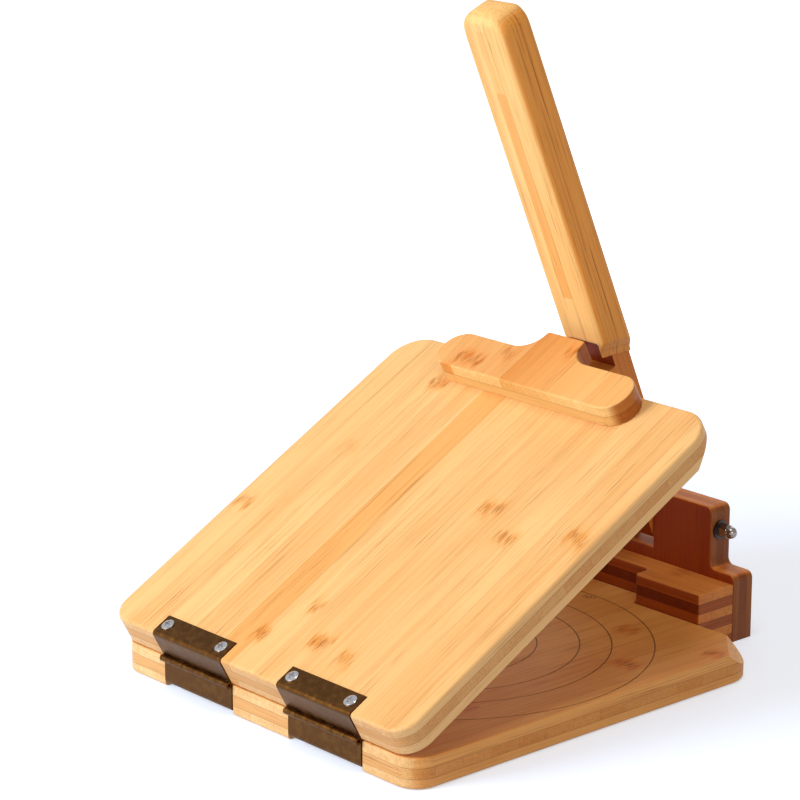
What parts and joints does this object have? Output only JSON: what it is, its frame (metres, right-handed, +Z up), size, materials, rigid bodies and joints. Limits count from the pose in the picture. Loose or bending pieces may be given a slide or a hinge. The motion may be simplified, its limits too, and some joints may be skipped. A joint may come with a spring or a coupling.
{
  "type": "tortilla press",
  "caption": "Wooden tortilla press: hinged square board on a base board with a step block, slotted post and a tall lever on a cross rod.",
  "frame": {"origin": "centre of the base board's underside, on the table", "axes": "+X along the hinge line, +Y from the hinges towards the post, +Z up"},
  "size_m": [0.262, 0.3377, 0.396],
  "materials": {
    "bamboo_board": "oiled",
    "bamboo_block": "oiled",
    "bamboo_lever": "oiled",
    "bronzed_steel": "antique bronze plating",
    "screw_steel": "nickel plated",
    "rod_steel": "plain",
    "washer_steel": "dark",
    "nut_steel": "polished"
  },
  "bodies": {
    "base": {"base_board": "bamboo_board", "step_block": "bamboo_block", "post": "bamboo_block", "pivot_rod": "rod_steel", "washers": "washer_steel", "acorn_nuts": "nut_steel", "lower_leaf_left": "bronzed_steel", "lower_leaf_right": "bronzed_steel", "hinge_pin_left": "bronzed_steel", "hinge_pin_right": "bronzed_steel", "base_screws": "screw_steel"},
    "lid": {"top_board": "bamboo_board", "press_block": "bamboo_block", "upper_leaf_left": "bronzed_steel", "upper_leaf_right": "bronzed_steel", "lid_screws": "screw_steel"},
    "lever": {"lever_handle": "bamboo_lever", "lever_arm": "bamboo_lever"}
  },
  "joints": [
    {"name": "lid_hinge", "type": "hinge", "parent": "base", "child": "lid", "pos_m": [0, -0.1392, 0.0185], "axis": [1, 0, 0], "range_deg": [-28.5, 147]},
    {"name": "lever_pivot", "type": "hinge", "parent": "base", "child": "lever", "pos_m": [0, 0.17545, 0.066], "axis": [-1, 0, 0], "range_deg": [0, 118]}
  ]
}
